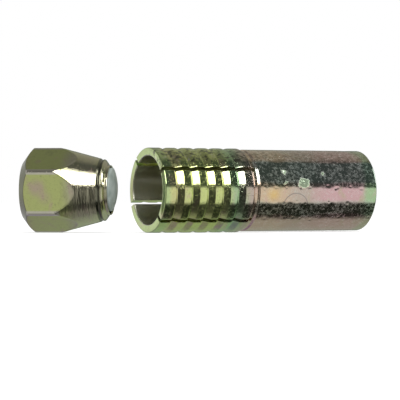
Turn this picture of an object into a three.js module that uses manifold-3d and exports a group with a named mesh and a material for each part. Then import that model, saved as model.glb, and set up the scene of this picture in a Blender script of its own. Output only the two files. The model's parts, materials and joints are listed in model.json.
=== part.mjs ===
// Wall anchor: a slotted expansion sleeve, with its hex cone nut and bore plug laid out in front of it.
// Millimetres, +Z up. The sleeve lies along X with its open mouth towards -X.

import * as THREE from 'three';
import { mergeVertices } from 'three/addons/utils/BufferGeometryUtils.js';
import Module from 'manifold-3d';

const wasm = await Module();
wasm.setup();

// Sleeve, measured along its own axis from the mouth
const SLEEVE_LENGTH = 45.4;
const RIB_RADIUS = 8.0;
const TUBE_RADIUS = 7.8;
const SLEEVE_BORE_RADIUS = 6.5;
const RIM_CHAMFER = 0.2;
const END_CHAMFER = 0.3;
const SLEEVE_SEGMENTS = 48;

// Grooves cut round the slotted part leave barbs: each groove is a steep step down and a long ramp up,
// so that the anchor goes in mouth first and its steep steps hold it there
const BARB_GROOVE_COUNT = 5;
const FIRST_GROOVE = 3.1;
const GROOVE_PITCH = 3.2;
const GROOVE_HALF_WIDTH = 0.95;
const STEP_LENGTH = 0.4;
const GROOVE_DEPTH = 0.42;

// One plain groove after them is where the fingers bend
const BEND_GROOVE = FIRST_GROOVE + BARB_GROOVE_COUNT * GROOVE_PITCH;
const BEND_HALF_WIDTH = 0.75;
const BEND_FLOOR_HALF_WIDTH = 0.4;
const GROOVE_FLOOR_RADIUS = RIB_RADIUS - GROOVE_DEPTH;

// Slots between the fingers, as angles from the front (-Y) side, turning down and under
const SLOT_WIDTH = 0.8;
const FRONT_UPPER_SLOT = -30.5;
const FRONT_LOWER_SLOT = 46;
const BACK_LOWER_SLOT = 160;
const BACK_UPPER_SLOT = 229;
const FULL_TURN = 360;
const NODE_GAP = 0.3;

// Cone nut, measured along its own axis from its hexagon end; a thin lip round the bore adds to its length
const NUT_LENGTH = 15.95;
const HEX_CORNER_RADIUS = 8.0;
const HEX_FACE_RADIUS = 5.4;
const HEX_CHAMFER_SLOPE = 1.35;
const STOCK_RADIUS = 8.3;
const CONE_START = 6.75;
const CONE_SLOPE = 0.268;
const CONE_END = 14.5;
const CONE_END_RADIUS = HEX_CORNER_RADIUS - (CONE_END - CONE_START) * CONE_SLOPE;
const NECK_DEPTH = 0.3;
const NECK_LENGTH = 0.45;
const RING_RADIUS = 5.75;
const RING_END = 15.3;
const SHOULDER_RADIUS = 5.3;
const SHOULDER_END = 15.65;
const TIP_RADIUS = 4.85;
const LIP_RADIUS = 4.65;
const LIP_LENGTH = 0.45;
const LIP_COUNTERSINK = 0.1;
const NUT_BORE_RADIUS = 4.35;
const HEX_COUNTERSINK = 0.7;
const HEX_TURN = 4.3;
const NUT_SEGMENTS = 60;

// Bore plug, in the small end of the nut, standing a little proud of the lip
const PLUG_RADIUS = NUT_BORE_RADIUS - NODE_GAP;
const PLUG_PROUD = 0.25;
const PLUG_DOME = 0.85;
const PLUG_DEPTH = 3.5;
const PLUG_HOLLOW_RADIUS = 2.9;
const PLUG_FLOOR = 1.2;
const PLUG_CHAMFER = 0.25;
const PLUG_SEGMENTS = 36;
const DOME_STEPS = 6;

// Where the nut lies: the middle of its small end's face, from the mouth, and its turn out of line
const NUT_TIP_X = -7.03;
const NUT_TIP_Y = 1.94;
const NUT_YAW = 34.7;

const ZINC = new THREE.MeshStandardMaterial({ color: 0xb3ad6c, roughness: 0.32, metalness: 0.9 });
const PLASTIC = new THREE.MeshStandardMaterial({ color: 0xa9b6b2, roughness: 0.45, metalness: 0.0 });

const radians = THREE.MathUtils.degToRad;

// A closed manifold solid from a three.js geometry, with the flat triangles at the poles left out
function toSolid(geometry) {
  geometry.deleteAttribute('normal');
  geometry.deleteAttribute('uv');
  const merged = mergeVertices(geometry, 1e-5);
  const index = merged.index.array;
  const kept = [];
  for (let i = 0; i < index.length; i += 3) {
    const corners = [index[i], index[i + 1], index[i + 2]];
    if (new Set(corners).size === 3) {
      kept.push(...corners);
    }
  }
  const vertProperties = new Float32Array(merged.attributes.position.array);
  return new wasm.Manifold(new wasm.Mesh({ numProp: 3, vertProperties, triVerts: new Uint32Array(kept) }));
}

function toMesh(name, solid, material) {
  const { vertProperties, triVerts } = solid.getMesh();
  const geometry = new THREE.BufferGeometry();
  geometry.setAttribute('position', new THREE.BufferAttribute(vertProperties, 3));
  geometry.setIndex(new THREE.BufferAttribute(triVerts, 1));
  geometry.computeVertexNormals();
  const mesh = new THREE.Mesh(geometry, material);
  mesh.name = name;
  return mesh;
}

// Turns a profile of [radius, distance along X] pairs about the X axis
function turned(profile, segments) {
  const points = profile.map(([radius, along]) => new THREE.Vector2(radius, along));
  const geometry = new THREE.LatheGeometry(points, segments);
  geometry.rotateZ(-Math.PI / 2);
  geometry.rotateX(Math.PI / segments);
  return toSolid(geometry);
}

// A prism along X whose outline is given as [y, z] pairs
function prism(outline, from, to) {
  const shape = new THREE.Shape(outline.map(([y, z]) => new THREE.Vector2(y, z)));
  const geometry = new THREE.ExtrudeGeometry(shape, { depth: to - from, bevelEnabled: false });
  const alongY = new THREE.Vector3(0, 1, 0);
  const alongZ = new THREE.Vector3(0, 0, 1);
  const alongX = new THREE.Vector3(1, 0, 0);
  geometry.applyMatrix4(new THREE.Matrix4().makeBasis(alongY, alongZ, alongX));
  geometry.translate(from, 0, 0);
  return toSolid(geometry);
}

function closed(profile) {
  return [...profile, profile[0]];
}

// The barbed ring that the slots part into fingers, from the mouth to the middle of the bend groove
function fingerRing() {
  const root = BEND_GROOVE - NODE_GAP / 2;
  const outside = [
    [SLEEVE_BORE_RADIUS + RIM_CHAMFER, 0],
    [RIB_RADIUS - RIM_CHAMFER, 0],
    [RIB_RADIUS, RIM_CHAMFER],
  ];
  for (let i = 0; i < BARB_GROOVE_COUNT; i += 1) {
    const centre = FIRST_GROOVE + i * GROOVE_PITCH;
    outside.push([RIB_RADIUS, centre - GROOVE_HALF_WIDTH]);
    outside.push([GROOVE_FLOOR_RADIUS, centre - GROOVE_HALF_WIDTH + STEP_LENGTH]);
    outside.push([RIB_RADIUS, centre + GROOVE_HALF_WIDTH]);
  }
  outside.push([RIB_RADIUS, BEND_GROOVE - BEND_HALF_WIDTH]);
  outside.push([GROOVE_FLOOR_RADIUS, BEND_GROOVE - BEND_FLOOR_HALF_WIDTH]);
  outside.push([GROOVE_FLOOR_RADIUS, root]);
  const inside = [
    [SLEEVE_BORE_RADIUS, root],
    [SLEEVE_BORE_RADIUS, RIM_CHAMFER],
  ];
  return turned(closed([...outside, ...inside]), SLEEVE_SEGMENTS);
}

// The wedge between two slots, each slot having parallel sides about its own centre plane
function wedgeBetween(slotAngle, nextSlotAngle) {
  const reach = 3 * RIB_RADIUS;
  const half = SLOT_WIDTH / 2;
  const start = radians(slotAngle);
  const span = radians(nextSlotAngle - slotAngle);
  const apex = half / Math.sin(span / 2);
  const point = (radius, angle, origin) => [
    origin[0] - radius * Math.cos(angle),
    origin[1] - radius * Math.sin(angle),
  ];
  const tip = point(apex, start + span / 2, [0, 0]);
  const outline = [
    tip,
    point(reach, start, tip),
    point(reach, start + span / 2, tip),
    point(reach, start + span, tip),
  ];
  return prism(outline, -1, BEND_GROOVE + 1);
}

function sleeveTube() {
  const start = BEND_GROOVE + NODE_GAP / 2;
  const profile = [
    [SLEEVE_BORE_RADIUS, start],
    [GROOVE_FLOOR_RADIUS, start],
    [GROOVE_FLOOR_RADIUS, BEND_GROOVE + BEND_FLOOR_HALF_WIDTH],
    [TUBE_RADIUS, BEND_GROOVE + BEND_HALF_WIDTH],
    [TUBE_RADIUS, SLEEVE_LENGTH - END_CHAMFER],
    [TUBE_RADIUS - END_CHAMFER, SLEEVE_LENGTH],
    [SLEEVE_BORE_RADIUS + END_CHAMFER, SLEEVE_LENGTH],
    [SLEEVE_BORE_RADIUS, SLEEVE_LENGTH - END_CHAMFER],
  ];
  return turned(closed(profile), SLEEVE_SEGMENTS);
}

function coneNut() {
  const chamferEnd = (STOCK_RADIUS - HEX_FACE_RADIUS) / HEX_CHAMFER_SLOPE;
  const stockEnd = CONE_START - (STOCK_RADIUS - HEX_CORNER_RADIUS) / CONE_SLOPE;
  const neckRadius = CONE_END_RADIUS - NECK_DEPTH;
  const neckEnd = CONE_END + NECK_LENGTH;
  const profile = [
    [NUT_BORE_RADIUS + HEX_COUNTERSINK, 0],
    [HEX_FACE_RADIUS, 0],
    [STOCK_RADIUS, chamferEnd],
    [STOCK_RADIUS, stockEnd],
    [CONE_END_RADIUS, CONE_END],
    [neckRadius, CONE_END + NECK_DEPTH],
    [neckRadius, neckEnd],
    [RING_RADIUS, neckEnd + RING_RADIUS - neckRadius],
    [RING_RADIUS, RING_END],
    [SHOULDER_RADIUS, SHOULDER_END],
    [TIP_RADIUS, NUT_LENGTH],
    [LIP_RADIUS, NUT_LENGTH],
    [LIP_RADIUS, NUT_LENGTH + LIP_LENGTH],
    [NUT_BORE_RADIUS + LIP_COUNTERSINK, NUT_LENGTH + LIP_LENGTH],
    [NUT_BORE_RADIUS, NUT_LENGTH + LIP_LENGTH - LIP_COUNTERSINK],
    [NUT_BORE_RADIUS, HEX_COUNTERSINK],
  ];
  const outline = [];
  for (let i = 0; i < 6; i += 1) {
    const angle = radians(HEX_TURN + 30 + i * 60);
    outline.push([HEX_CORNER_RADIUS * Math.cos(angle), HEX_CORNER_RADIUS * Math.sin(angle)]);
  }
  const hexagon = prism(outline, -1, NUT_LENGTH + 1);
  return turned(closed(profile), NUT_SEGMENTS).intersect(hexagon);
}

function borePlug() {
  const inner = NUT_LENGTH - PLUG_DEPTH;
  const brow = NUT_LENGTH + LIP_LENGTH + PLUG_PROUD;
  const floor = brow - PLUG_FLOOR;
  const profile = [
    [0, floor],
    [PLUG_HOLLOW_RADIUS, floor],
    [PLUG_HOLLOW_RADIUS, inner],
    [PLUG_RADIUS - PLUG_CHAMFER, inner],
    [PLUG_RADIUS, inner + PLUG_CHAMFER],
  ];
  const sphere = (PLUG_RADIUS ** 2 + PLUG_DOME ** 2) / (2 * PLUG_DOME);
  const widest = Math.asin(PLUG_RADIUS / sphere);
  for (let i = 0; i <= DOME_STEPS; i += 1) {
    const angle = widest * (1 - i / DOME_STEPS);
    profile.push([sphere * Math.sin(angle), brow + PLUG_DOME - sphere * (1 - Math.cos(angle))]);
  }
  return turned(profile, PLUG_SEGMENTS);
}

// Lays a solid built along the nut's axis where the loose nut lies
function laidOut(solid) {
  const moved = solid.translate([-NUT_LENGTH, 0, 0]);
  return moved.rotate([0, 0, -NUT_YAW]).translate([NUT_TIP_X, NUT_TIP_Y, 0]);
}

const ring = fingerRing();
const slots = [
  FRONT_UPPER_SLOT,
  FRONT_LOWER_SLOT,
  BACK_LOWER_SLOT,
  BACK_UPPER_SLOT,
  FRONT_UPPER_SLOT + FULL_TURN,
];
const fingerNames = ['finger_front', 'finger_bottom', 'finger_back', 'finger_top'];

const group = new THREE.Group();
group.name = 'wall_anchor';
group.add(toMesh('sleeve_tube', sleeveTube(), ZINC));
for (let i = 0; i < fingerNames.length; i += 1) {
  const finger = ring.intersect(wedgeBetween(slots[i], slots[i + 1]));
  group.add(toMesh(fingerNames[i], finger, ZINC));
}
group.add(toMesh('cone_nut', laidOut(coneNut()), ZINC));
group.add(toMesh('bore_plug', laidOut(borePlug()), PLASTIC));

// The origin is put under the middle of the whole row, on the surface it lies on
const box = new THREE.Box3().setFromObject(group);
const middle = box.getCenter(new THREE.Vector3());
for (const mesh of group.children) {
  mesh.geometry.translate(-middle.x, -middle.y, -box.min.z);
}

export default group;
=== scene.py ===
import json
import math
import random

import bmesh
import bpy
import numpy as np
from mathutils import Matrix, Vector


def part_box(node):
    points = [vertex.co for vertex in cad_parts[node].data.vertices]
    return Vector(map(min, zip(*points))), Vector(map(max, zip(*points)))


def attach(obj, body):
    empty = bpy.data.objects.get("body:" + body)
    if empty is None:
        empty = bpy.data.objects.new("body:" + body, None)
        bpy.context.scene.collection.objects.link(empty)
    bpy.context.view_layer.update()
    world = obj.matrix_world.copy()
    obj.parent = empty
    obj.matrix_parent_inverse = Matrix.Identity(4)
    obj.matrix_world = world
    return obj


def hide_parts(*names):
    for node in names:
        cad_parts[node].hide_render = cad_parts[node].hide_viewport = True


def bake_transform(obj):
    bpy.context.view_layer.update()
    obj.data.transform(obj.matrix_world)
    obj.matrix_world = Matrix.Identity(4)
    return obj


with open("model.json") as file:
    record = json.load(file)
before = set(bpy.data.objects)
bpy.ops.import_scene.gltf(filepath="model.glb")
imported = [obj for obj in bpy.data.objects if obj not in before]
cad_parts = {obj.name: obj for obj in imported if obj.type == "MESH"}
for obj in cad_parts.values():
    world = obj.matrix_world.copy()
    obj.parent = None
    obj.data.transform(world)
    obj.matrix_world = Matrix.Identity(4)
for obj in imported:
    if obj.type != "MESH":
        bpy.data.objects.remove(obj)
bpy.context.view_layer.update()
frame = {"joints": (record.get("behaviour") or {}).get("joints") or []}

# A slotted expansion sleeve and, off its mouth, the loose hex cone nut with its dust plug.
# Shapes are worked out in millimetres in the sleeve's or the nut's own lengthwise frame:
# X runs along the axis, and each mesh is put in the row frame by Place below.
MM = 0.001
TAU = 2 * math.pi
SEED = 11
CREASE_ANGLE = math.radians(50)

# Sleeve, measured from its mouth
RIB_RADIUS = 8.0
TUBE_RADIUS = 7.8
BORE_RADIUS = 6.5
RIM_ROUND = 0.2
END_ROUND = 0.3
GROOVE_COUNT = 6
FIRST_GROOVE = 3.1
GROOVE_PITCH = 3.2
GROOVE_DEPTH = 0.42
GROOVE_BACK = 0.95
GROOVE_FLOOR = 0.55
GROOVE_RAMP_END = 0.95
GROOVE_EASE = 0.15
BEND_FLOOR_HALF = 0.25
BEND_HALF = 0.8
BEND_GROOVE = FIRST_GROOVE + (GROOVE_COUNT - 1) * GROOVE_PITCH
SEAM = BEND_GROOVE + 0.2
BEND_REACH = 0.5
SLOT_HALF = 0.4
SLOTS = {
    "finger_front": (-30.5, 46.0),
    "finger_bottom": (46.0, 160.0),
    "finger_back": (160.0, 229.0),
    "finger_top": (229.0, 329.5),
}
SLOT_EDGE_ROUND = 0.03
SKIN_MIDDLE = (RIB_RADIUS + BORE_RADIUS) / 2

# How finely the sleeve's meshes are laid out: points round them, and lengths between rows
FINGER_COLUMNS = 60
FINGER_ROW = 0.1
TUBE_COLUMNS = 360
TUBE_ROW = 0.13
ROUND_ROWS = 6
SLOT_CORNER_SHARES = (0.35, 0.7, 1.0)

# Knocks: how many, then the least and the most of their sizes and of their depths
FINGER_DENTS = {"finger_front": 90, "finger_bottom": 90, "finger_back": 90, "finger_top": 320}
FINGER_DENT_SIZES = (0.12, 0.4)
FINGER_DENT_DEPTHS = (0.002, 0.010)
TOP_FINGER_DENTS = (120, (0.4, 0.9), (0.010, 0.030))
TUBE_SMALL_DENTS = (460, (0.16, 0.38), (0.010, 0.040))
TUBE_BROAD_DENTS = (90, (0.5, 1.3), (0.008, 0.028))
# Bruises on the tube: the place along it, degrees round from the front, reach, and number of dents
BRUISE_SIZES = (0.16, 0.34)
BRUISE_DEPTHS = (0.02, 0.05)
BRUISES = (
    (29.2, -12.0, 0.55, 16),
    (25.4, -26.0, 0.5, 8),
    (30.4, 14.0, 0.8, 6),
    (38.5, -20.0, 0.6, 5),
)

# Cone nut, measured from its hexagon end
NUT_LENGTH = 15.95
FLAT_DISTANCE = 8.0 * math.cos(math.radians(30))
HEX_EDGE_ROUND = 0.5
# the radii between which the rounded hex edges get a painted highlight
PAINTED_EDGE_HIGHLIGHT = (7.62, 7.80)
HEX_FACE_RADIUS = 5.4
HEX_MOUTH_RADIUS = 5.1
HEX_CHAMFER_SLOPE = 1.35
CONE_START = 6.75
CONE_START_RADIUS = 8.0
CONE_SLOPE = 0.268
CONE_END = 14.5
CONE_END_RADIUS = CONE_START_RADIUS - (CONE_END - CONE_START) * CONE_SLOPE
NECK_DEPTH = 0.3
NECK_END = 14.95
RING_START = 15.08
RING_END = 15.3
RING_RADIUS = 5.75
SHOULDER_END = 15.65
SHOULDER_RADIUS = 5.3
TIP_RADIUS = 4.85
LIP_RADIUS = 4.65
LIP_LENGTH = 0.45
LIP_MOUTH_RADIUS = 4.44
HEX_TURN = 4.3
THREAD_PITCH = 1.5
THREAD_CREST = 4.3
THREAD_ROOT = 4.95
THREAD_END = 11.6
ROWS_PER_PITCH = 14
# The cone's tool marks, each a wavelength along it and a depth
TOOL_MARKS = ((1.9, 0.006), (0.83, 0.006), (0.53, 0.005), (0.37, 0.003))
PLAIN_BORE_RADIUS = 4.35
SEAT_DEPTH = 3.3

# Bore plug
PLUG_RADIUS = 4.05
PLUG_PROUD = 0.25
PLUG_DOME = 0.85
PLUG_DEPTH = 3.5
PLUG_HOLLOW_RADIUS = 2.9
PLUG_FLOOR = 1.2
PLUG_COLUMNS = 96
DOME_ROWS = 24
GATE_RADIUS = 0.45
GATE_DEPTH = 0.06
PLUG_TILT = -1.5
PLUG_RAISED = 0.24


# ---------------------------------------------------------------- frame places

class Place:
    """A lengthwise frame in the row frame: an origin in metres and the turn of its X axis in plan."""

    def __init__(self, origin, angle):
        self.origin = np.array(origin, float)
        self.cos = math.cos(angle)
        self.sin = math.sin(angle)

    def out(self, points):
        x, y, z = points[:, 0], points[:, 1], points[:, 2]
        turned = np.stack([x * self.cos - y * self.sin, x * self.sin + y * self.cos, z], axis=1)
        return turned * MM + self.origin


def joint(name):
    return next(j for j in frame["joints"] if j["name"] == name)


def sleeve_place():
    low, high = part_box("sleeve_tube")
    mouth = min(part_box(node)[0].x for node in SLOTS)
    return Place((mouth, (low.y + high.y) / 2, (low.z + high.z) / 2), 0.0)


def nut_place(sleeve):
    """The loose nut's place: the seat in the mouth, swung back by the joint that carries the nut there."""
    swing = joint("nut_and_plug_swing")
    angle = -math.radians(swing["range_deg"][1])
    pole = np.array(swing["pos_m"], float)
    arm = sleeve.origin + np.array([SEAT_DEPTH * MM, 0, 0]) - pole
    c, s = math.cos(angle), math.sin(angle)
    tip = pole + np.array([arm[0] * c - arm[1] * s, arm[0] * s + arm[1] * c, arm[2]])
    tip[2] = sleeve.origin[2]
    hex_end = tip - NUT_LENGTH * MM * np.array([c, s, 0])
    return Place(hex_end, angle)


SLEEVE = sleeve_place()
NUT = nut_place(SLEEVE)


# ---------------------------------------------------------------- mesh helpers

def lattice_faces(rows, columns, wrap_rows=False, wrap_columns=True, start=0):
    i = np.arange(rows if wrap_rows else rows - 1)
    j = np.arange(columns if wrap_columns else columns - 1)
    ii, jj = np.meshgrid(i, j, indexing="ij")
    next_i = (ii + 1) % rows
    next_j = (jj + 1) % columns
    quads = [ii * columns + jj, ii * columns + next_j, next_i * columns + next_j, next_i * columns + jj]
    return (np.stack(quads, axis=-1).reshape(-1, 4) + start).tolist()


def build(name, points, faces, place, material, body):
    """A smooth shaded object from local points in mm, which it keeps as "where" for the materials."""
    mesh = bpy.data.meshes.new(name)
    mesh.from_pydata(place.out(points).tolist(), [], faces)
    where = mesh.attributes.new("where", "FLOAT_VECTOR", "POINT")
    where.data.foreach_set("vector", points.astype(np.float32).ravel())
    mesh.polygons.foreach_set("use_smooth", [True] * len(mesh.polygons))
    mesh.materials.append(material)
    tidy_mesh(mesh)
    obj = bpy.data.objects.new(name, mesh)
    bpy.context.scene.collection.objects.link(obj)
    if body:
        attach(obj, body)
    return obj


def tidy_mesh(mesh):
    """Joins doubled points, drops faces with no area and turns every face outwards."""
    bm = bmesh.new()
    bm.from_mesh(mesh)
    bmesh.ops.remove_doubles(bm, verts=bm.verts, dist=0.002 * MM)
    bmesh.ops.dissolve_degenerate(bm, dist=0.001 * MM, edges=bm.edges)
    bmesh.ops.recalc_face_normals(bm, faces=bm.faces)
    for edge in bm.edges:
        if edge.calc_face_angle(0.0) > CREASE_ANGLE:
            edge.smooth = False
    bm.to_mesh(mesh)
    bm.free()


def rounded_profile(corners, steps):
    """Points along a path of (x, r, round) corners with each corner rounded, and steps[i] parts on side i."""
    path = [np.array(c[:2], float) for c in corners]
    points = []
    for i, corner in enumerate(path):
        if 0 < i < len(path) - 1 and corners[i][2] > 0:
            back = path[i - 1] - corner
            ahead = path[i + 1] - corner
            reach = corners[i][2]
            start = corner + back / np.linalg.norm(back) * reach
            end = corner + ahead / np.linalg.norm(ahead) * reach
            shares = (0, 0.25, 0.5, 0.75, 1)
            arc = [start * (1 - t) ** 2 + corner * 2 * t * (1 - t) + end * t ** 2 for t in shares]
        else:
            arc = [corner]
        if points:
            last = points[-1]
            for k in range(1, steps[i - 1]):
                points.append(last + (arc[0] - last) * k / steps[i - 1])
        points.extend(arc)
    return np.array(points)


def round_about(x, r, theta):
    """Local points at distance r from the X axis; theta is 0 at the front and turns down and under."""
    return np.stack([x, -r * np.cos(theta), -r * np.sin(theta)], axis=-1)


def turned(profile, columns):
    """The points of a profile of (x, r) turned once about the X axis, row by row."""
    theta = np.arange(columns) * TAU / columns
    x = np.repeat(profile[:, :1], columns, axis=1)
    r = np.repeat(profile[:, 1:], columns, axis=1)
    return round_about(x, r, theta[None, :]).reshape(-1, 3)


def smooth_step(t):
    t = np.clip(t, 0, 1)
    return t * t * (3 - 2 * t)


# ---------------------------------------------------------------- sleeve

def eased(t):
    """A straight rise from 0 to 1 with its two ends rounded."""
    t = np.clip(t, 0, 1)
    e = GROOVE_EASE
    straight = (t - e / 2) / (1 - e)
    start = t * t / (2 * e * (1 - e))
    end = 1 - (1 - t) ** 2 / (2 * e * (1 - e))
    return np.where(t < e, start, np.where(t > 1 - e, end, straight))


def barb_depth(away):
    """A groove between barbs: a steep step down on the mouth's side, then a long ramp up."""
    step = smooth_step((away + GROOVE_BACK) / (GROOVE_BACK - GROOVE_FLOOR))
    ramp = eased((away + GROOVE_FLOOR) / (GROOVE_RAMP_END + GROOVE_FLOOR))
    return GROOVE_DEPTH * step * (1 - ramp)


def bend_shape(away):
    slope = np.clip((np.abs(away) - BEND_FLOOR_HALF) / (BEND_HALF - BEND_FLOOR_HALF), 0, 1)
    return (1 + np.cos(np.pi * slope)) / 2


def rib_radius(x):
    """The outside of the ribbed part at x, with its grooves and its rounded rim."""
    radius = RIB_RADIUS - GROOVE_DEPTH * bend_shape(x - BEND_GROOVE)
    for i in range(GROOVE_COUNT - 1):
        radius -= barb_depth(x - FIRST_GROOVE - i * GROOVE_PITCH)
    into_rim = np.clip(RIM_ROUND - x, 0, RIM_ROUND)
    return radius - (RIM_ROUND - np.sqrt(RIM_ROUND ** 2 - into_rim ** 2))


def bore_radius(x):
    into_rim = np.clip(RIM_ROUND - x, 0, RIM_ROUND)
    return BORE_RADIUS + (RIM_ROUND - np.sqrt(RIM_ROUND ** 2 - into_rim ** 2))


def finger_stations():
    rim = RIM_ROUND * (1 - np.cos(np.linspace(0, np.pi / 2, ROUND_ROWS)))
    rest = np.arange(RIM_ROUND + 0.12, SEAM - 0.05, FINGER_ROW)
    return np.concatenate([rim, rest, [SEAM]])


def dimples(points, rng, count, sizes, depths, x_range):
    """How far each outside point is pushed in by small knocks scattered over the outside."""
    push = np.zeros(len(points))
    for _ in range(count):
        x = rng.uniform(*x_range)
        angle = rng.uniform(0, TAU)
        size = rng.uniform(*sizes)
        depth = rng.uniform(*depths)
        stretch = rng.uniform(0.6, 1.8)
        centre = np.array([x, -TUBE_RADIUS * math.cos(angle), -TUBE_RADIUS * math.sin(angle)])
        away = points - centre
        away[:, 0] /= stretch
        push += depth * np.exp(-(away ** 2).sum(1) / (size * size))
    return push


def bruises(points, rng):
    """The marks that stand out on the tube, each a cluster of dents."""
    push = np.zeros(len(points))
    for along, angle, reach, count in BRUISES:
        for _ in range(count):
            x = rng.gauss(along, reach)
            turn = math.radians(angle) + rng.gauss(0, reach) / TUBE_RADIUS
            size = rng.uniform(*BRUISE_SIZES)
            away = points - np.array([x, -TUBE_RADIUS * math.cos(turn), -TUBE_RADIUS * math.sin(turn)])
            push += rng.uniform(*BRUISE_DEPTHS) * np.exp(-(away ** 2).sum(1) / (size * size))
    return push


def press_in(points, radius, push):
    """Moves the sleeve's outside points towards its axis, and leaves its bore as it is."""
    shrink = np.where(radius > SKIN_MIDDLE, push, 0) / radius
    points[:, 1] *= 1 - shrink
    points[:, 2] *= 1 - shrink


def finger_section(x, start, end):
    """The closed section of a finger at x as (x, r, theta): out along its outside and back along its bore."""
    outer = float(rib_radius(np.array([x]))[0])
    inner = float(bore_radius(np.array([x]))[0])
    share = np.linspace(0, 1, FINGER_COLUMNS)
    loop = []
    # the arcs stop short of the slot's faces, and small quarter rounds take them onto those faces
    for radius, inward, order in ((outer, -1, 1), (inner, 1, -1)):
        low = start + math.asin((SLOT_HALF + SLOT_EDGE_ROUND) / radius)
        high = end - math.asin((SLOT_HALF + SLOT_EDGE_ROUND) / radius)
        arc = [(radius, angle) for angle in low + (high - low) * share]
        first, last = [], []
        for corner_share in SLOT_CORNER_SHARES:
            turn = corner_share * math.pi / 2
            beside = SLOT_HALF + SLOT_EDGE_ROUND * (1 - math.sin(turn))
            r = radius + inward * SLOT_EDGE_ROUND * (1 - math.cos(turn))
            first.append((r, start + math.asin(beside / r)))
            last.append((r, end - math.asin(beside / r)))
        loop += (first[::-1] + arc + last)[::order]
    return [(x, r, theta) for r, theta in loop]


def make_finger(name, material):
    start, end = (math.radians(a) for a in SLOTS[name])
    data = np.array([finger_section(x, start, end) for x in finger_stations()])
    rows, columns = data.shape[:2]
    points = round_about(data[..., 0], data[..., 1], data[..., 2]).reshape(-1, 3)
    radius = data[..., 1].reshape(-1)
    rng = random.Random(SEED + len(name) * 7 + int(SLOTS[name][0]))
    ribbed = (0.5, BEND_GROOVE - 1)
    push = dimples(points, rng, FINGER_DENTS[name], FINGER_DENT_SIZES, FINGER_DENT_DEPTHS, ribbed)
    if name == "finger_top":
        push += dimples(points, rng, *TOP_FINGER_DENTS, ribbed)
    fade = smooth_step((SEAM - points[:, 0]) / 1.5)
    press_in(points, radius, push * fade)
    faces = lattice_faces(rows, columns)
    half = columns // 2
    for row in (0, rows - 1):
        at = row * columns
        faces += [[at + j, at + j + 1, at + columns - 2 - j, at + columns - 1 - j] for j in range(half - 1)]
    piece = build(name + "_skin", points, faces, SLEEVE, material, None)
    SLEEVE.out(np.array([[SEAM, 0, 0]]))[0]
    SLEEVE.out(np.array([[SEAM - BEND_REACH, 0, 0]]))[0]
    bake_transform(piece)
    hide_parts(name)
    return piece


def make_tube(material):
    groove_end = BEND_GROOVE + BEND_HALF
    length = (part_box("sleeve_tube")[1].x - SLEEVE.origin[0]) / MM
    flank = np.linspace(SEAM, groove_end, 12)
    depth = (TUBE_RADIUS - RIB_RADIUS + GROOVE_DEPTH) * bend_shape(flank - BEND_GROOVE)
    outside = np.stack([flank, TUBE_RADIUS - depth], axis=1)
    plain = np.arange(groove_end + TUBE_ROW, length - END_ROUND - 0.05, TUBE_ROW)
    outside = np.concatenate([outside, np.stack([plain, np.full_like(plain, TUBE_RADIUS)], axis=1)])
    turn = np.linspace(0, np.pi / 2, ROUND_ROWS)
    outer_round = np.stack([length - END_ROUND + END_ROUND * np.sin(turn),
                            TUBE_RADIUS - END_ROUND + END_ROUND * np.cos(turn)], axis=1)
    inner_round = np.stack([length - END_ROUND + END_ROUND * np.cos(turn),
                            BORE_RADIUS + END_ROUND - END_ROUND * np.sin(turn)], axis=1)
    inside_x = np.linspace(length - END_ROUND - 0.1, SEAM, 60)
    inside = np.stack([inside_x, np.full_like(inside_x, BORE_RADIUS)], axis=1)
    profile = np.concatenate([outside, outer_round, inner_round, inside])
    points = turned(profile, TUBE_COLUMNS)
    radius = np.repeat(profile[:, 1], TUBE_COLUMNS)
    rng = random.Random(SEED)
    push = dimples(points, rng, *TUBE_SMALL_DENTS, (groove_end, length))
    push += dimples(points, rng, *TUBE_BROAD_DENTS, (groove_end, length))
    push += bruises(points, rng)
    fade = smooth_step((points[:, 0] - SEAM - 0.3) / 1.0)
    press_in(points, radius, push * fade)
    faces = lattice_faces(len(profile), TUBE_COLUMNS, wrap_rows=True)
    piece = build("sleeve_tube_skin", points, faces, SLEEVE, material, "sleeve")
    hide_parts("sleeve_tube")
    return piece


# ---------------------------------------------------------------- cone nut

def hex_columns():
    """Angles round the nut, closer together at its rounded edges, and the hexagon's radius at each."""
    edge_centre = (FLAT_DISTANCE - HEX_EDGE_ROUND) / math.cos(math.radians(30))
    flat_end = math.atan(edge_centre * math.sin(math.radians(30)) / FLAT_DISTANCE)
    near = flat_end * np.array([0, 0.12, 0.24, 0.36, 0.48, 0.6, 0.72, 0.84, 0.95])
    rounding = flat_end + (math.radians(30) - flat_end) * np.array([0, 1 / 3, 2 / 3])
    half = np.concatenate([near, rounding])
    offsets = np.concatenate([-half[:0:-1], half, [math.radians(30)]])
    flat = FLAT_DISTANCE / np.cos(offsets)
    from_edge = math.radians(30) - np.abs(offsets)
    inside = np.maximum(HEX_EDGE_ROUND ** 2 - (edge_centre * np.sin(from_edge)) ** 2, 0)
    edge = edge_centre * np.cos(from_edge) + np.sqrt(inside)
    radii = np.where(np.abs(offsets) <= flat_end, flat, edge)
    angles, values = [], []
    for side in range(6):
        # theta turns down from the front, and the first flat's middle is HEX_TURN degrees down
        angles.append(offsets + math.radians(60 * side + HEX_TURN))
        values.append(radii)
    return np.concatenate(angles), np.concatenate(values)


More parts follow.
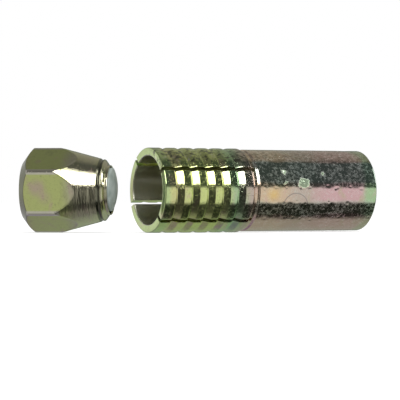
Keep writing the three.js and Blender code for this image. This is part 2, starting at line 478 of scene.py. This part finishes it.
def nut_profile(hex_radius):
    to_hex = (hex_radius - HEX_FACE_RADIUS) / HEX_CHAMFER_SLOPE
    cone_from = CONE_START + (CONE_START_RADIUS - hex_radius) / CONE_SLOPE
    neck = CONE_END_RADIUS - NECK_DEPTH
    corners = [
        (0.12, HEX_MOUTH_RADIUS - 0.12, 0),
        (0, HEX_MOUTH_RADIUS, 0.05),
        (0, HEX_FACE_RADIUS, 0.08),
        (to_hex, hex_radius, 0.12),
        (cone_from, hex_radius, 0.10),
        (CONE_END, CONE_END_RADIUS, 0.05),
        (CONE_END + NECK_DEPTH, neck, 0.04),
        (NECK_END, neck, 0.04),
        (RING_START, RING_RADIUS, 0.05),
        (RING_END, RING_RADIUS, 0.1),
        (SHOULDER_END, SHOULDER_RADIUS, 0.14),
        (NUT_LENGTH, TIP_RADIUS, 0.09),
        (NUT_LENGTH, LIP_RADIUS + 0.02, 0.04),
        (NUT_LENGTH + LIP_LENGTH, LIP_RADIUS, 0.08),
        (NUT_LENGTH + LIP_LENGTH, LIP_MOUTH_RADIUS, 0.05),
        (NUT_LENGTH + LIP_LENGTH - 0.08, LIP_MOUTH_RADIUS - 0.08, 0),
    ]
    return rounded_profile(corners, [1, 2, 5, 14, 90, 2, 2, 2, 2, 3, 3, 1, 4, 1, 1])


def ring_marks(x, rng):
    """The tool's marks along the turned part, the same all round."""
    marks = np.zeros_like(x)
    for wavelength, depth in TOOL_MARKS:
        marks += depth * np.sin(TAU * (x / wavelength + rng.random()))
    return marks


def thread_radius(x, theta):
    turn = (x / THREAD_PITCH - theta / TAU) % 1.0
    rise = np.clip((np.abs(turn - 0.5) - 0.07) / 0.36, 0, 1)
    cut = THREAD_ROOT - (THREAD_ROOT - THREAD_CREST) * rise
    run_out = smooth_step((x - THREAD_END + 1.2) / 1.2)
    mouth = smooth_step((x - NUT_LENGTH - LIP_LENGTH + 0.3) / 0.2)
    plain = PLAIN_BORE_RADIUS + mouth * (LIP_MOUTH_RADIUS - 0.08 - PLAIN_BORE_RADIUS)
    wall = cut * (1 - run_out) + plain * run_out
    countersink = HEX_MOUTH_RADIUS - x
    return np.maximum(wall, countersink)


def make_nut(material):
    theta, hexagon = hex_columns()
    columns = len(theta)
    outer = np.array([nut_profile(h) for h in hexagon])
    x, r = outer[..., 0].T, outer[..., 1].T
    rng = random.Random(SEED + 3)
    cone_from = CONE_START + (CONE_START_RADIUS - hexagon) / CONE_SLOPE
    on_cone = smooth_step((x - cone_from[None, :] - 0.05) / 0.15) * smooth_step((CONE_END - 0.1 - x) / 0.2)
    r = r + on_cone * ring_marks(x, rng)
    shell = round_about(x, r, theta[None, :])
    step = THREAD_PITCH / ROWS_PER_PITCH
    bore_start, bore_end = 0.12, NUT_LENGTH + LIP_LENGTH - 0.08
    count = int((bore_end - bore_start + THREAD_PITCH) / step) + 2
    base = bore_start - THREAD_PITCH + step * np.arange(count)
    bore_x = np.clip(base[:, None] + THREAD_PITCH * (theta[None, :] - theta[0]) / TAU, bore_start, bore_end)
    bore_r = thread_radius(bore_x, theta[None, :])
    bore_r[bore_x <= bore_start + 1e-9] = HEX_MOUTH_RADIUS - 0.12
    bore_r[bore_x >= bore_end - 1e-9] = LIP_MOUTH_RADIUS - 0.08
    bore = round_about(bore_x, bore_r, theta[None, :])
    points = np.concatenate([shell.reshape(-1, 3), bore.reshape(-1, 3)])
    faces = lattice_faces(len(x), columns)
    start = shell.shape[0] * columns
    for i in range(count - 1):
        for j in range(columns - 1):
            a = start + i * columns + j
            faces.append([a, a + 1, a + columns + 1, a + columns])
    # a full turn on, the thread's rows have moved along by one pitch
    for i in range(-ROWS_PER_PITCH, count - 1):
        left = [min(max(k, 0), count - 1) for k in (i + ROWS_PER_PITCH, i + ROWS_PER_PITCH + 1)]
        right = [min(max(k, 0), count - 1) for k in (i, i + 1)]
        quad = [start + right[0] * columns + columns - 1, start + left[0] * columns,
                start + left[1] * columns, start + right[1] * columns + columns - 1]
        if len(set(quad)) == 4:
            faces.append(quad)
    piece = build("cone_nut_body", points, faces, NUT, material, "nut")
    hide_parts("cone_nut")
    return piece


def make_plug(material):
    inner = NUT_LENGTH - PLUG_DEPTH
    brow = NUT_LENGTH + LIP_LENGTH + PLUG_PROUD
    sphere = (PLUG_RADIUS ** 2 + PLUG_DOME ** 2) / (2 * PLUG_DOME)
    widest = math.asin((PLUG_RADIUS - 0.12) / sphere)
    dome = []
    for angle in np.linspace(0, widest, DOME_ROWS):
        dome.append((brow + PLUG_DOME - sphere * (1 - math.cos(angle)), sphere * math.sin(angle)))
    corners = [
        (brow - PLUG_FLOOR, 0, 0),
        (brow - PLUG_FLOOR, PLUG_HOLLOW_RADIUS, 0.2),
        (inner, PLUG_HOLLOW_RADIUS + 0.05, 0.1),
        (inner, PLUG_RADIUS - 0.25, 0.08),
        (inner + 0.25, PLUG_RADIUS - 0.02, 0.08),
        (NUT_LENGTH + LIP_LENGTH - 0.1, PLUG_RADIUS, 0),
        (brow - 0.02, PLUG_RADIUS, 0.06),
        dome[-1] + (0,),
    ]
    side = rounded_profile(corners, [6, 8, 2, 2, 12, 2, 1])
    profile = np.concatenate([side, np.array(dome[-2::-1])])
    profile[:, 1] = np.maximum(profile[:, 1], 0)
    # the mark of the mould's gate is a small hollow in the middle of the dome
    gate = np.exp(-(profile[:, 1] / GATE_RADIUS) ** 2) * GATE_DEPTH * (profile[:, 0] > brow)
    profile[:, 0] -= gate
    points = turned(profile, PLUG_COLUMNS)
    tilt = math.radians(PLUG_TILT)
    away = points[:, 0] - inner
    # pushed in by hand, it sits a little askew and up against the bore
    points[:, 0] -= math.sin(tilt) * points[:, 2]
    points[:, 2] += math.sin(tilt) * away + PLUG_RAISED
    faces = lattice_faces(len(profile), PLUG_COLUMNS)
    piece = build("bore_plug_body", points, faces, NUT, material, "plug")
    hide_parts("bore_plug")
    return piece


# ---------------------------------------------------------------- materials

class Nodes:
    """Short names for building a node tree."""

    def __init__(self, tree):
        self.tree = tree
        tree.nodes.clear()

    def add(self, kind, **values):
        node = self.tree.nodes.new(kind)
        for key, value in values.items():
            setattr(node, key, value)
        return node

    def wire(self, output, target):
        self.tree.links.new(output, target)

    def put(self, target, value):
        if isinstance(value, bpy.types.NodeSocket):
            self.wire(value, target)
        else:
            target.default_value = value

    def math(self, operation, a, b=0.0, c=0.0):
        node = self.add("ShaderNodeMath", operation=operation)
        for socket, value in zip(node.inputs, (a, b, c)):
            self.put(socket, value)
        return node.outputs[0]

    def mapped(self, value, from_low, from_high, to_low=0.0, to_high=1.0):
        node = self.add("ShaderNodeMapRange", interpolation_type="SMOOTHSTEP")
        for socket, number in zip(node.inputs, (value, from_low, from_high, to_low, to_high)):
            self.put(socket, number)
        return node.outputs[0]

    def scaled(self, vector, scale):
        node = self.add("ShaderNodeVectorMath", operation="MULTIPLY")
        self.put(node.inputs[0], vector)
        node.inputs[1].default_value = scale
        return node.outputs[0]

    def noise(self, vector, scale, detail=3.0, rough=0.5, distortion=0.0):
        node = self.add("ShaderNodeTexNoise")
        self.put(node.inputs["Vector"], vector)
        node.inputs["Scale"].default_value = scale
        node.inputs["Detail"].default_value = detail
        node.inputs["Roughness"].default_value = rough
        node.inputs["Distortion"].default_value = distortion
        return node.outputs[0]

    def ramp(self, value, stops, interpolation="LINEAR"):
        node = self.add("ShaderNodeValToRGB")
        node.color_ramp.interpolation = interpolation
        elements = node.color_ramp.elements
        while len(elements) > 1:
            elements.remove(elements[-1])
        for i, (at, colour) in enumerate(stops):
            element = elements[0] if i == 0 else elements.new(at)
            element.position = at
            element.color = tuple(colour) + (1.0,)
        self.put(node.inputs[0], value)
        return node.outputs[0]

    def mix(self, factor, a, b, blend="MIX"):
        node = self.add("ShaderNodeMix", data_type="RGBA", blend_type=blend)
        self.put(node.inputs[0], factor)
        for socket, value in ((node.inputs[6], a), (node.inputs[7], b)):
            self.put(socket, value if isinstance(value, bpy.types.NodeSocket) else tuple(value) + (1.0,))
        return node.outputs[2]

    def distance(self, where, centre):
        node = self.add("ShaderNodeVectorMath", operation="DISTANCE")
        self.wire(where, node.inputs[0])
        node.inputs[1].default_value = centre
        return node.outputs["Value"]

    def spot(self, where, centre, reach):
        """1 at a place on the piece, falling to 0 at a distance of reach from it."""
        return self.mapped(self.distance(where, centre), reach, 0.0)

    def bump(self, height, strength, distance, normal=None):
        node = self.add("ShaderNodeBump")
        node.inputs["Strength"].default_value = strength
        node.inputs["Distance"].default_value = distance
        self.put(node.inputs["Height"], height)
        if normal is not None:
            self.wire(normal, node.inputs["Normal"])
        return node.outputs[0]


def new_material(name):
    material = bpy.data.materials.new(name)
    material.use_nodes = True
    n = Nodes(material.node_tree)
    shader = n.add("ShaderNodeBsdfPrincipled")
    output = n.add("ShaderNodeOutputMaterial")
    n.wire(shader.outputs[0], output.inputs[0])
    where = n.add("ShaderNodeAttribute", attribute_name="where").outputs["Vector"]
    return material, n, shader, where


# Colours of the yellow film, of its stains and worn places, and of painted shade and painted highlights on it
OLIVE = (0.50, 0.52, 0.26)
LEAF = (0.60, 0.73, 0.34)
LIME = (0.70, 0.77, 0.30)
STRAW = (0.73, 0.72, 0.33)
SAND = (0.76, 0.58, 0.40)
TAUPE = (0.62, 0.51, 0.43)
PINK = (0.74, 0.48, 0.48)
TAUPE_DARK = (0.36, 0.30, 0.27)
AMBER = (0.86, 0.60, 0.24)
TEAL = (0.46, 0.64, 0.36)
KHAKI = (0.66, 0.63, 0.44)
STAIN_AND_SHADE = (0.17, 0.17, 0.12)
PAINTED_CHAMFER_SHADE = (0.20, 0.205, 0.13)
INSIDE = (0.72, 0.70, 0.60)
BLUSH = (0.72, 0.56, 0.46)
CRYSTAL = (0.28, 0.50, 0.46)
WORN = (0.56, 0.72, 0.48)
EDGE = (0.88, 0.82, 0.74)
SLATE = (0.50, 0.58, 0.54)
MOSS = (0.48, 0.52, 0.42)


def on_front(x, angle, radius):
    """A place on a piece: x along it, and an angle round from the front that turns down."""
    turn = math.radians(angle)
    return (x, -radius * math.cos(turn), -radius * math.sin(turn))


# How strong the film's soft patches are, how far its bands waver in degrees, and the plating's roughness
BLOTCH = 0.4
WAVER = 12.0
POLISH = 0.1
# Where the far side of the mouth's rim lies, for the painted olive shade on it
FAR_RIM_RADIUS = 7.2
# Where the tube's film is worn dull: centre, reach and dullness
DULL_PATCHES = (
    (on_front(25.3, -26, TUBE_RADIUS), 0.55, 0.5),
    (on_front(25.4, -11, TUBE_RADIUS), 0.4, 0.4),
    (on_front(29.2, -11, TUBE_RADIUS), 1.15, 0.55),
    (on_front(33.6, -24, TUBE_RADIUS), 0.35, 0.4),
)


def drifting_film(n, where, along, slow, stops, drive, drift):
    """The film's colour along the piece, which wanders, with soft patches and small stains in it."""
    share = n.math("DIVIDE", n.math("SUBTRACT", along, drive[0]), drive[1] - drive[0])
    driver = n.math("ADD", share, n.math("MULTIPLY", n.math("SUBTRACT", slow, 0.5), drift * 2))
    film = n.ramp(driver, stops, "EASE")
    patch = n.noise(n.scaled(where, (0.5, 0.35, 0.35)), 1.0, 3.0, 0.55, 0.3)
    film = n.mix(n.mapped(patch, 0.54, 0.74, 0.0, BLOTCH), film, PINK)
    film = n.mix(n.mapped(patch, 0.44, 0.28, 0.0, BLOTCH), film, OLIVE)
    stain = n.noise(where, 2.6, 4.0, 0.62)
    return n.mix(n.mapped(stain, 0.60, 0.74, 0.0, 0.5), film, STAIN_AND_SHADE)


def degrees_round(n, y, z, slow):
    """Degrees round the piece from its front, turning down, from a zero that wavers along it."""
    around = n.math("ARCTAN2", n.math("MULTIPLY", z, -1.0), n.math("MULTIPLY", y, -1.0))
    return n.math("ADD", n.math("DEGREES", around), n.math("MULTIPLY", n.math("SUBTRACT", slow, 0.5), WAVER))


def side_bands(n, film, around, painted_reflection_bands):
    """Bands of painted reflection tint along the piece, fixed round it, each (degrees round, half its width
    in degrees, colour, amount).
    """
    for angle, half, colour, amount in painted_reflection_bands:
        off = n.math("ABSOLUTE", n.math("SUBTRACT", around, angle))
        film = n.mix(n.mapped(off, half + 3, half - 3, 0.0, amount), film, colour)
    return film


def mottled(n, film, where, around, mottle):
    """Dark and pale clouds in one band, painted dark reflections and painted glints, (degrees round, half its
    width in degrees, amount).
    """
    angle, half, amount = mottle
    off = n.math("ABSOLUTE", n.math("SUBTRACT", around, angle))
    there = n.math("MULTIPLY", n.mapped(off, half + 5, half - 5), amount)
    cloud = n.noise(n.scaled(where, (0.9, 1.2, 1.2)), 1.0, 4.0, 0.65, 0.4)
    # painted reflections: dark clouds, then pale glints, in the band
    film = n.mix(n.math("MULTIPLY", n.mapped(cloud, 0.50, 0.60), there), film, STAIN_AND_SHADE)
    return n.mix(n.math("MULTIPLY", n.mapped(cloud, 0.42, 0.30), there), film, EDGE)


def hexagon_end(n, film, along, out):
    """Painted shade darkens the turned chamfer, a painted highlight makes the rounded outer edges pale, and
    painted shade darkens the neck.
    """
    chamfer = n.math("ADD", n.math("MULTIPLY", along, HEX_CHAMFER_SLOPE), HEX_FACE_RADIUS)
    # painted shade: the chamfer's colour is darkened
    film = n.mix(n.mapped(n.math("SUBTRACT", out, chamfer), -0.14, -0.05), film, PAINTED_CHAMFER_SHADE)
    # painted highlight: pale colour on the rounded hex edges
    film = n.mix(n.mapped(out, PAINTED_EDGE_HIGHLIGHT[0], PAINTED_EDGE_HIGHLIGHT[1], 0.0, 0.8), film, EDGE)
    # painted shade: the neck's recess and the ring beside it are darkened
    neck = n.math("MULTIPLY", n.mapped(along, CONE_END - 0.1, CONE_END + 0.1),
                  n.mapped(along, RING_END + 0.15, RING_END - 0.1))
    return n.mix(n.math("MULTIPLY", neck, 0.92), film, STAIN_AND_SHADE)


def ring_stains(n, film, where, rings):
    """Thin rings left by drops, each (centre, radius, colour, amount)."""
    for centre, radius, colour, amount in rings:
        off = n.math("ABSOLUTE", n.math("SUBTRACT", n.distance(where, centre), radius))
        film = n.mix(n.mapped(off, 0.16, 0.05, 0.0, amount), film, colour)
    return film


def crystals(n, film, where, specks):
    """Dull crystals of zinc that scatter light, in drifts and thick in the patches: film and dullness."""
    fine = n.noise(where, 1.9, 3.0, 0.6)
    drifts = n.mapped(n.noise(where, 0.42, 2.0, 0.5), 0.35, 0.62, -0.07, 0.04)
    dull = n.mapped(n.math("ADD", fine, drifts), 0.42, 0.70, 0.0, specks)
    bright = n.mapped(n.noise(where, 2.4, 2.0, 0.5), 0.64, 0.74, 0.0, specks * 2.2)
    dull = n.math("MAXIMUM", dull, bright)
    film = n.mix(dull, film, CRYSTAL)
    ragged = n.math("MULTIPLY", n.math("SUBTRACT", n.noise(where, 1.1, 3.0, 0.6), 0.5), 1.6)
    for centre, reach, amount in DULL_PATCHES:
        away = n.math("ADD", n.distance(where, centre), ragged)
        worn = n.mapped(away, reach, reach - 0.15)
        edge = n.mapped(n.math("ABSOLUTE", n.math("SUBTRACT", away, reach - 0.12)), 0.22, 0.06)
        film = n.mix(n.math("MULTIPLY", worn, 0.8), film, WORN)
        dull = n.math("MAXIMUM", dull, n.math("MULTIPLY", worn, amount * 0.45))
        dull = n.math("MAXIMUM", dull, n.math("MULTIPLY", edge, amount))
    return film, dull


def relief(n, where, grain, pitting):
    """The fine relief of the plating: an uneven surface, pits and grain."""
    normal = n.bump(n.noise(where, 1.3, 2.0, 0.5), 0.25, 0.00005)
    pits = n.mapped(n.noise(where, 4.2, 3.0, 0.6), 0.60, 0.70, 1.0, 0.0)
    normal = n.bump(pits, pitting, 0.00002, normal)
    return n.bump(n.noise(where, 8.0, 3.0, 0.65), grain, 0.00002, normal)


def lathe_marks(n, normal, where, along, out, marks):
    """The lathe's fine marks, on the cone and not on the flats."""
    cone = n.math("ADD", out, n.math("MULTIPLY", n.math("SUBTRACT", along, CONE_START), CONE_SLOPE))
    on_cone = n.mapped(n.math("SUBTRACT", cone, CONE_START_RADIUS), -0.14, -0.05)
    lines = n.math("MULTIPLY", n.noise(n.scaled(where, (9.0, 0.10, 0.10)), 1.0, 2.0, 0.7), on_cone)
    return n.bump(lines, marks, 0.00004, normal)


def zinc(name, stops, drive, drift, grain=0.25, pitting=0.5, marks=0.0, inside=None, specks=0.0,
         spots=(), painted_reflection_bands=(), mottle=None, rings=(), hexagon=False):
    """Yellow passivated zinc: a clear film whose colour wanders along the piece, pits and fine marks."""
    material, n, shader, where = new_material(name)
    split = n.add("ShaderNodeSeparateXYZ")
    n.wire(where, split.inputs[0])
    along, y, z = split.outputs
    out = n.math("SQRT", n.math("ADD", n.math("POWER", y, 2.0), n.math("POWER", z, 2.0)))
    slow = n.noise(n.scaled(where, (0.16, 0.10, 0.10)), 1.0, 2.0, 0.45, 0.6)
    film = drifting_film(n, where, along, slow, stops, drive, drift)
    around = degrees_round(n, y, z, slow)
    # painted reflection tints in bands round the piece
    film = side_bands(n, film, around, painted_reflection_bands)
    if mottle:
        film = mottled(n, film, where, around, mottle)
    for centre, reach, colour, amount in spots:
        film = n.mix(n.math("MULTIPLY", n.spot(where, centre, reach), amount), film, colour)
    if hexagon:
        film = hexagon_end(n, film, along, out)
    film = ring_stains(n, film, where, rings)
    haze = n.noise(where, 1.1, 4.0, 0.6)
    speck = n.noise(where, 7.0, 2.0, 0.6)
    roughness = n.mapped(haze, 0.3, 0.7, POLISH * 0.75, POLISH * 1.3)
    roughness = n.math("ADD", roughness, n.mapped(speck, 0.58, 0.72, 0.0, 0.05))
    if inside is not None:
        within = n.mapped(out, inside + 0.25, inside + 0.05)
        film = n.mix(n.math("MULTIPLY", within, 0.85), film, INSIDE)
        roughness = n.math("ADD", roughness, n.math("MULTIPLY", within, 0.2))
    shader.inputs["Metallic"].default_value = 1.0
    if specks:
        film, dull = crystals(n, film, where, specks)
        n.wire(n.math("SUBTRACT", 1.0, n.math("MULTIPLY", dull, 0.9)), shader.inputs["Metallic"])
    normal = relief(n, where, grain, pitting)
    if marks:
        normal = lathe_marks(n, normal, where, along, out, marks)
    n.wire(film, shader.inputs["Base Color"])
    n.wire(roughness, shader.inputs["Roughness"])
    n.wire(normal, shader.inputs["Normal"])
    return material


def plug_plastic():
    material, n, shader, where = new_material("plug_plastic")
    cloud = n.noise(where, 0.5, 3.0, 0.5)
    colour = n.mix(n.mapped(cloud, 0.35, 0.65), (0.17, 0.205, 0.185), (0.25, 0.285, 0.265))
    dust = n.noise(where, 3.2, 4.0, 0.65)
    colour = n.mix(n.mapped(dust, 0.60, 0.75, 0.0, 0.3), colour, (0.46, 0.52, 0.47))
    n.wire(colour, shader.inputs["Base Color"])
    n.wire(n.mapped(dust, 0.3, 0.7, 0.30, 0.48), shader.inputs["Roughness"])
    shader.inputs["Subsurface Weight"].default_value = 0.15
    shader.inputs["Subsurface Radius"].default_value = (0.0006, 0.0008, 0.0008)
    n.wire(n.bump(n.noise(where, 5.0, 3.0, 0.6), 0.25, 0.00002), shader.inputs["Normal"])
    return material


# ---------------------------------------------------------------- studio

FILL = 1.06
FLOOR_HALF = 3.0
FLOOR_WHITE = 0.42
FLOOR_GLOW = 0.60


def make_world():
    """A white surround, and in the reflections the bright cards and dark gaps of a small product studio."""
    world = bpy.data.worlds.new("studio")
    bpy.context.scene.world = world
    world.use_nodes = True
    n = Nodes(world.node_tree)
    out = n.add("ShaderNodeOutputWorld")
    direction = n.add("ShaderNodeTexCoord").outputs["Generated"]
    split = n.add("ShaderNodeSeparateXYZ")
    n.wire(direction, split.inputs[0])
    x, y, z = split.outputs
    # the turn about the X axis, from the front up over the top, with straight back at both ends of 0 to 1
    turn = n.math("ARCTAN2", z, n.math("MULTIPLY", y, -1.0))
    share = n.math("ADD", n.math("DIVIDE", turn, TAU), 0.5)

    def at(degrees):
        return degrees / 360 + 0.5

    def tone(level, tint=(1.0, 1.0, 1.0)):
        return tuple(level * c for c in tint)

    green = (0.90, 1.05, 0.85)
    pink = (0.95, 0.86, 1.2)
    warm = (1.0, 1.0, 0.88)
    teal = (0.84, 1.06, 1.0)
    right = n.ramp(share, [
        (0.0, tone(0.18, green)), (at(-168), tone(0.20, green)), (at(-150), tone(0.38, green)),
        (at(-100), tone(0.38, green)), (at(-92), tone(0.34, green)), (at(-80), tone(0.03, green)),
        (at(-39), tone(0.02, green)), (at(-33), tone(0.74)), (at(6), tone(0.76)), (at(11), tone(0.062, teal)),
        (at(84), tone(0.07, teal)), (at(98), tone(0.25, warm)), (at(150), tone(0.34, warm)),
        (at(168), tone(0.18, green)), (1.0, tone(0.16, green))])
    left = n.ramp(share, [
        (0.0, tone(0.76)), (at(-150), tone(0.27, pink)), (at(-110), tone(0.245, pink)), (at(-74), tone(0.27)),
        (at(-60), tone(0.06)), (at(-40), tone(0.04)), (at(0), tone(0.05)), (at(14), tone(0.12)),
        (at(85), tone(0.12)), (at(104), tone(0.15)), (at(130), tone(0.22)), (1.0, tone(0.76))])
    far_left = n.ramp(share, [
        (0.0, tone(0.78)), (at(-90), tone(0.35)), (at(-45), tone(0.30)), (at(-20), tone(0.46)),
        (at(-2), tone(0.46)), (at(14), tone(0.15)), (at(90), tone(0.12)), (at(120), tone(0.3)),
        (1.0, tone(0.78))])
    studio = n.mix(n.mapped(x, 0.30, 0.10), right, left)
    studio = n.mix(n.mapped(x, -0.42, -0.58), studio, far_left)
    rays = n.add("ShaderNodeLightPath")
    surround = n.mix(rays.outputs["Is Diffuse Ray"], studio, tone(FILL))
    surround = n.mix(rays.outputs["Is Camera Ray"], surround, tone(1.0))
    background = n.add("ShaderNodeBackground")
    n.wire(surround, background.inputs[0])
    background.inputs[1].default_value = 1.0
    n.wire(background.outputs[0], out.inputs[0])


# Name, direction from the middle of the row, distance, width and height in metres, and power in watts
SOFTBOXES = (
    ("key_softbox", (-0.20, -0.76, 0.60), 0.7, 0.42, 0.52, 4.0),
    ("side_softbox", (0.86, -0.30, 0.42), 0.7, 0.16, 0.40, 0.9),
)


def add_softbox(name, direction, distance, width, height, power):
    light = bpy.data.lights.new(name, "AREA")
    light.shape = "RECTANGLE"
    light.size = width
    light.size_y = height
    light.energy = power
    obj = bpy.data.objects.new(name, light)
    bpy.context.scene.collection.objects.link(obj)
    way = Vector(direction).normalized()
    obj.location = Vector((0, 0, SLEEVE.origin[2])) + way * distance
    obj.rotation_euler = (-way).to_track_quat("-Z", "Y").to_euler()


def make_floor():
    mesh = bpy.data.meshes.new("floor")
    far = FLOOR_HALF
    corners = [(-far, -far, 0), (far, -far, 0), (far, far, 0), (-far, far, 0)]
    mesh.from_pydata(corners, [], [(0, 1, 2, 3)])
    floor = bpy.data.objects.new("floor", mesh)
    bpy.context.scene.collection.objects.link(floor)
    material = bpy.data.materials.new("floor")
    material.use_nodes = True
    n = Nodes(material.node_tree)
    shader = n.add("ShaderNodeBsdfPrincipled")
    # a lit table: part of its white comes from below, so that shadows on it stay pale
    shader.inputs["Base Color"].default_value = (FLOOR_WHITE, FLOOR_WHITE, FLOOR_WHITE, 1)
    shader.inputs["Emission Color"].default_value = (1, 1, 1, 1)
    shader.inputs["Emission Strength"].default_value = FLOOR_GLOW
    shader.inputs["Roughness"].default_value = 0.9
    shader.inputs["Specular IOR Level"].default_value = 0.0
    out = n.add("ShaderNodeOutputMaterial")
    n.wire(shader.outputs[0], out.inputs[0])
    mesh.materials.append(material)
    floor.visible_glossy = False


# The camera looks level at the row, from the front and a little to the left. Its side and drop are
# measured from the sleeve's mouth, in metres.
CAMERA_AZIMUTH = -26.46
CAMERA_LENS = 191.5
CAMERA_DISTANCE = 0.3983
CAMERA_SIDE = 0.00985
CAMERA_DROP = -0.00183


def make_camera():
    turn = math.radians(CAMERA_AZIMUTH)
    ahead = Vector((-math.sin(turn), math.cos(turn), 0))
    side = Vector((math.cos(turn), math.sin(turn), 0))
    camera = bpy.data.cameras.new("camera")
    camera.lens = CAMERA_LENS
    camera.sensor_width = 36.0
    camera.clip_start = 0.01
    camera.clip_end = 20.0
    obj = bpy.data.objects.new("camera", camera)
    bpy.context.scene.collection.objects.link(obj)
    mouth = Vector(SLEEVE.origin)
    obj.location = mouth + side * CAMERA_SIDE - ahead * CAMERA_DISTANCE + Vector((0, 0, CAMERA_DROP))
    obj.rotation_euler = ahead.to_track_quat("-Z", "Y").to_euler()
    bpy.context.scene.camera = obj


def tube_zinc():
    return zinc(
        "zinc_tube",
        [(0.0, SAND), (0.2, SAND), (0.36, TAUPE), (0.6, PINK), (0.86, PINK), (0.93, TEAL), (1.0, TEAL)],
        drive=(19.5, 46.0), drift=0.10, inside=BORE_RADIUS, specks=0.16, grain=0.12, pitting=0.10,
        painted_reflection_bands=((-27, 17, SLATE, 0.7), (27, 10, MOSS, 0.6), (62, 24, PINK, 0.6), (-62, 18, TAUPE, 0.4)),
        mottle=(-60, 18, 0.45),
        rings=((on_front(27.6, 24, TUBE_RADIUS), 2.7, TAUPE_DARK, 0.8),),
        spots=((on_front(28.0, 4, TUBE_RADIUS), 3.6, TAUPE, 0.8),
               (on_front(22.7, 6, TUBE_RADIUS), 2.0, AMBER, 0.9)))


def finger_zinc():
    return zinc(
        "zinc_fingers",
        [(0.0, LEAF), (0.05, LEAF), (0.10, STRAW), (0.3, LIME), (0.6, LIME), (0.76, TEAL), (0.92, TAUPE),
         (1.0, SAND)],
        drive=(0.0, 20.0), drift=0.08, inside=BORE_RADIUS, specks=0.06, mottle=(-62, 22, 0.85),
        # painted shade: olive darkening on the far side of the mouth's rim
        spots=((on_front(0, 180, FAR_RIM_RADIUS), 6.0, OLIVE, 1.0),))


def nut_zinc():
    return zinc(
        "zinc_nut",
        [(0.0, STRAW), (0.2, LIME), (0.5, LIME), (0.75, KHAKI), (1.0, KHAKI)],
        drive=(0.0, 15.0), drift=0.15, marks=1.1, grain=0.08, pitting=0.3, hexagon=True,
        spots=((on_front(3.7, -3, FLAT_DISTANCE), 2.4, BLUSH, 0.8),
               (on_front(5.2, 12, FLAT_DISTANCE), 2.0, BLUSH, 0.4)))


def main():
    make_tube(tube_zinc())
    fingers = finger_zinc()
    for name in SLOTS:
        make_finger(name, fingers)
    make_nut(nut_zinc())
    make_plug(plug_plastic())
    make_floor()
    make_world()
    for softbox in SOFTBOXES:
        add_softbox(*softbox)
    make_camera()
    bpy.context.scene.view_settings.view_transform = "Standard"


main()
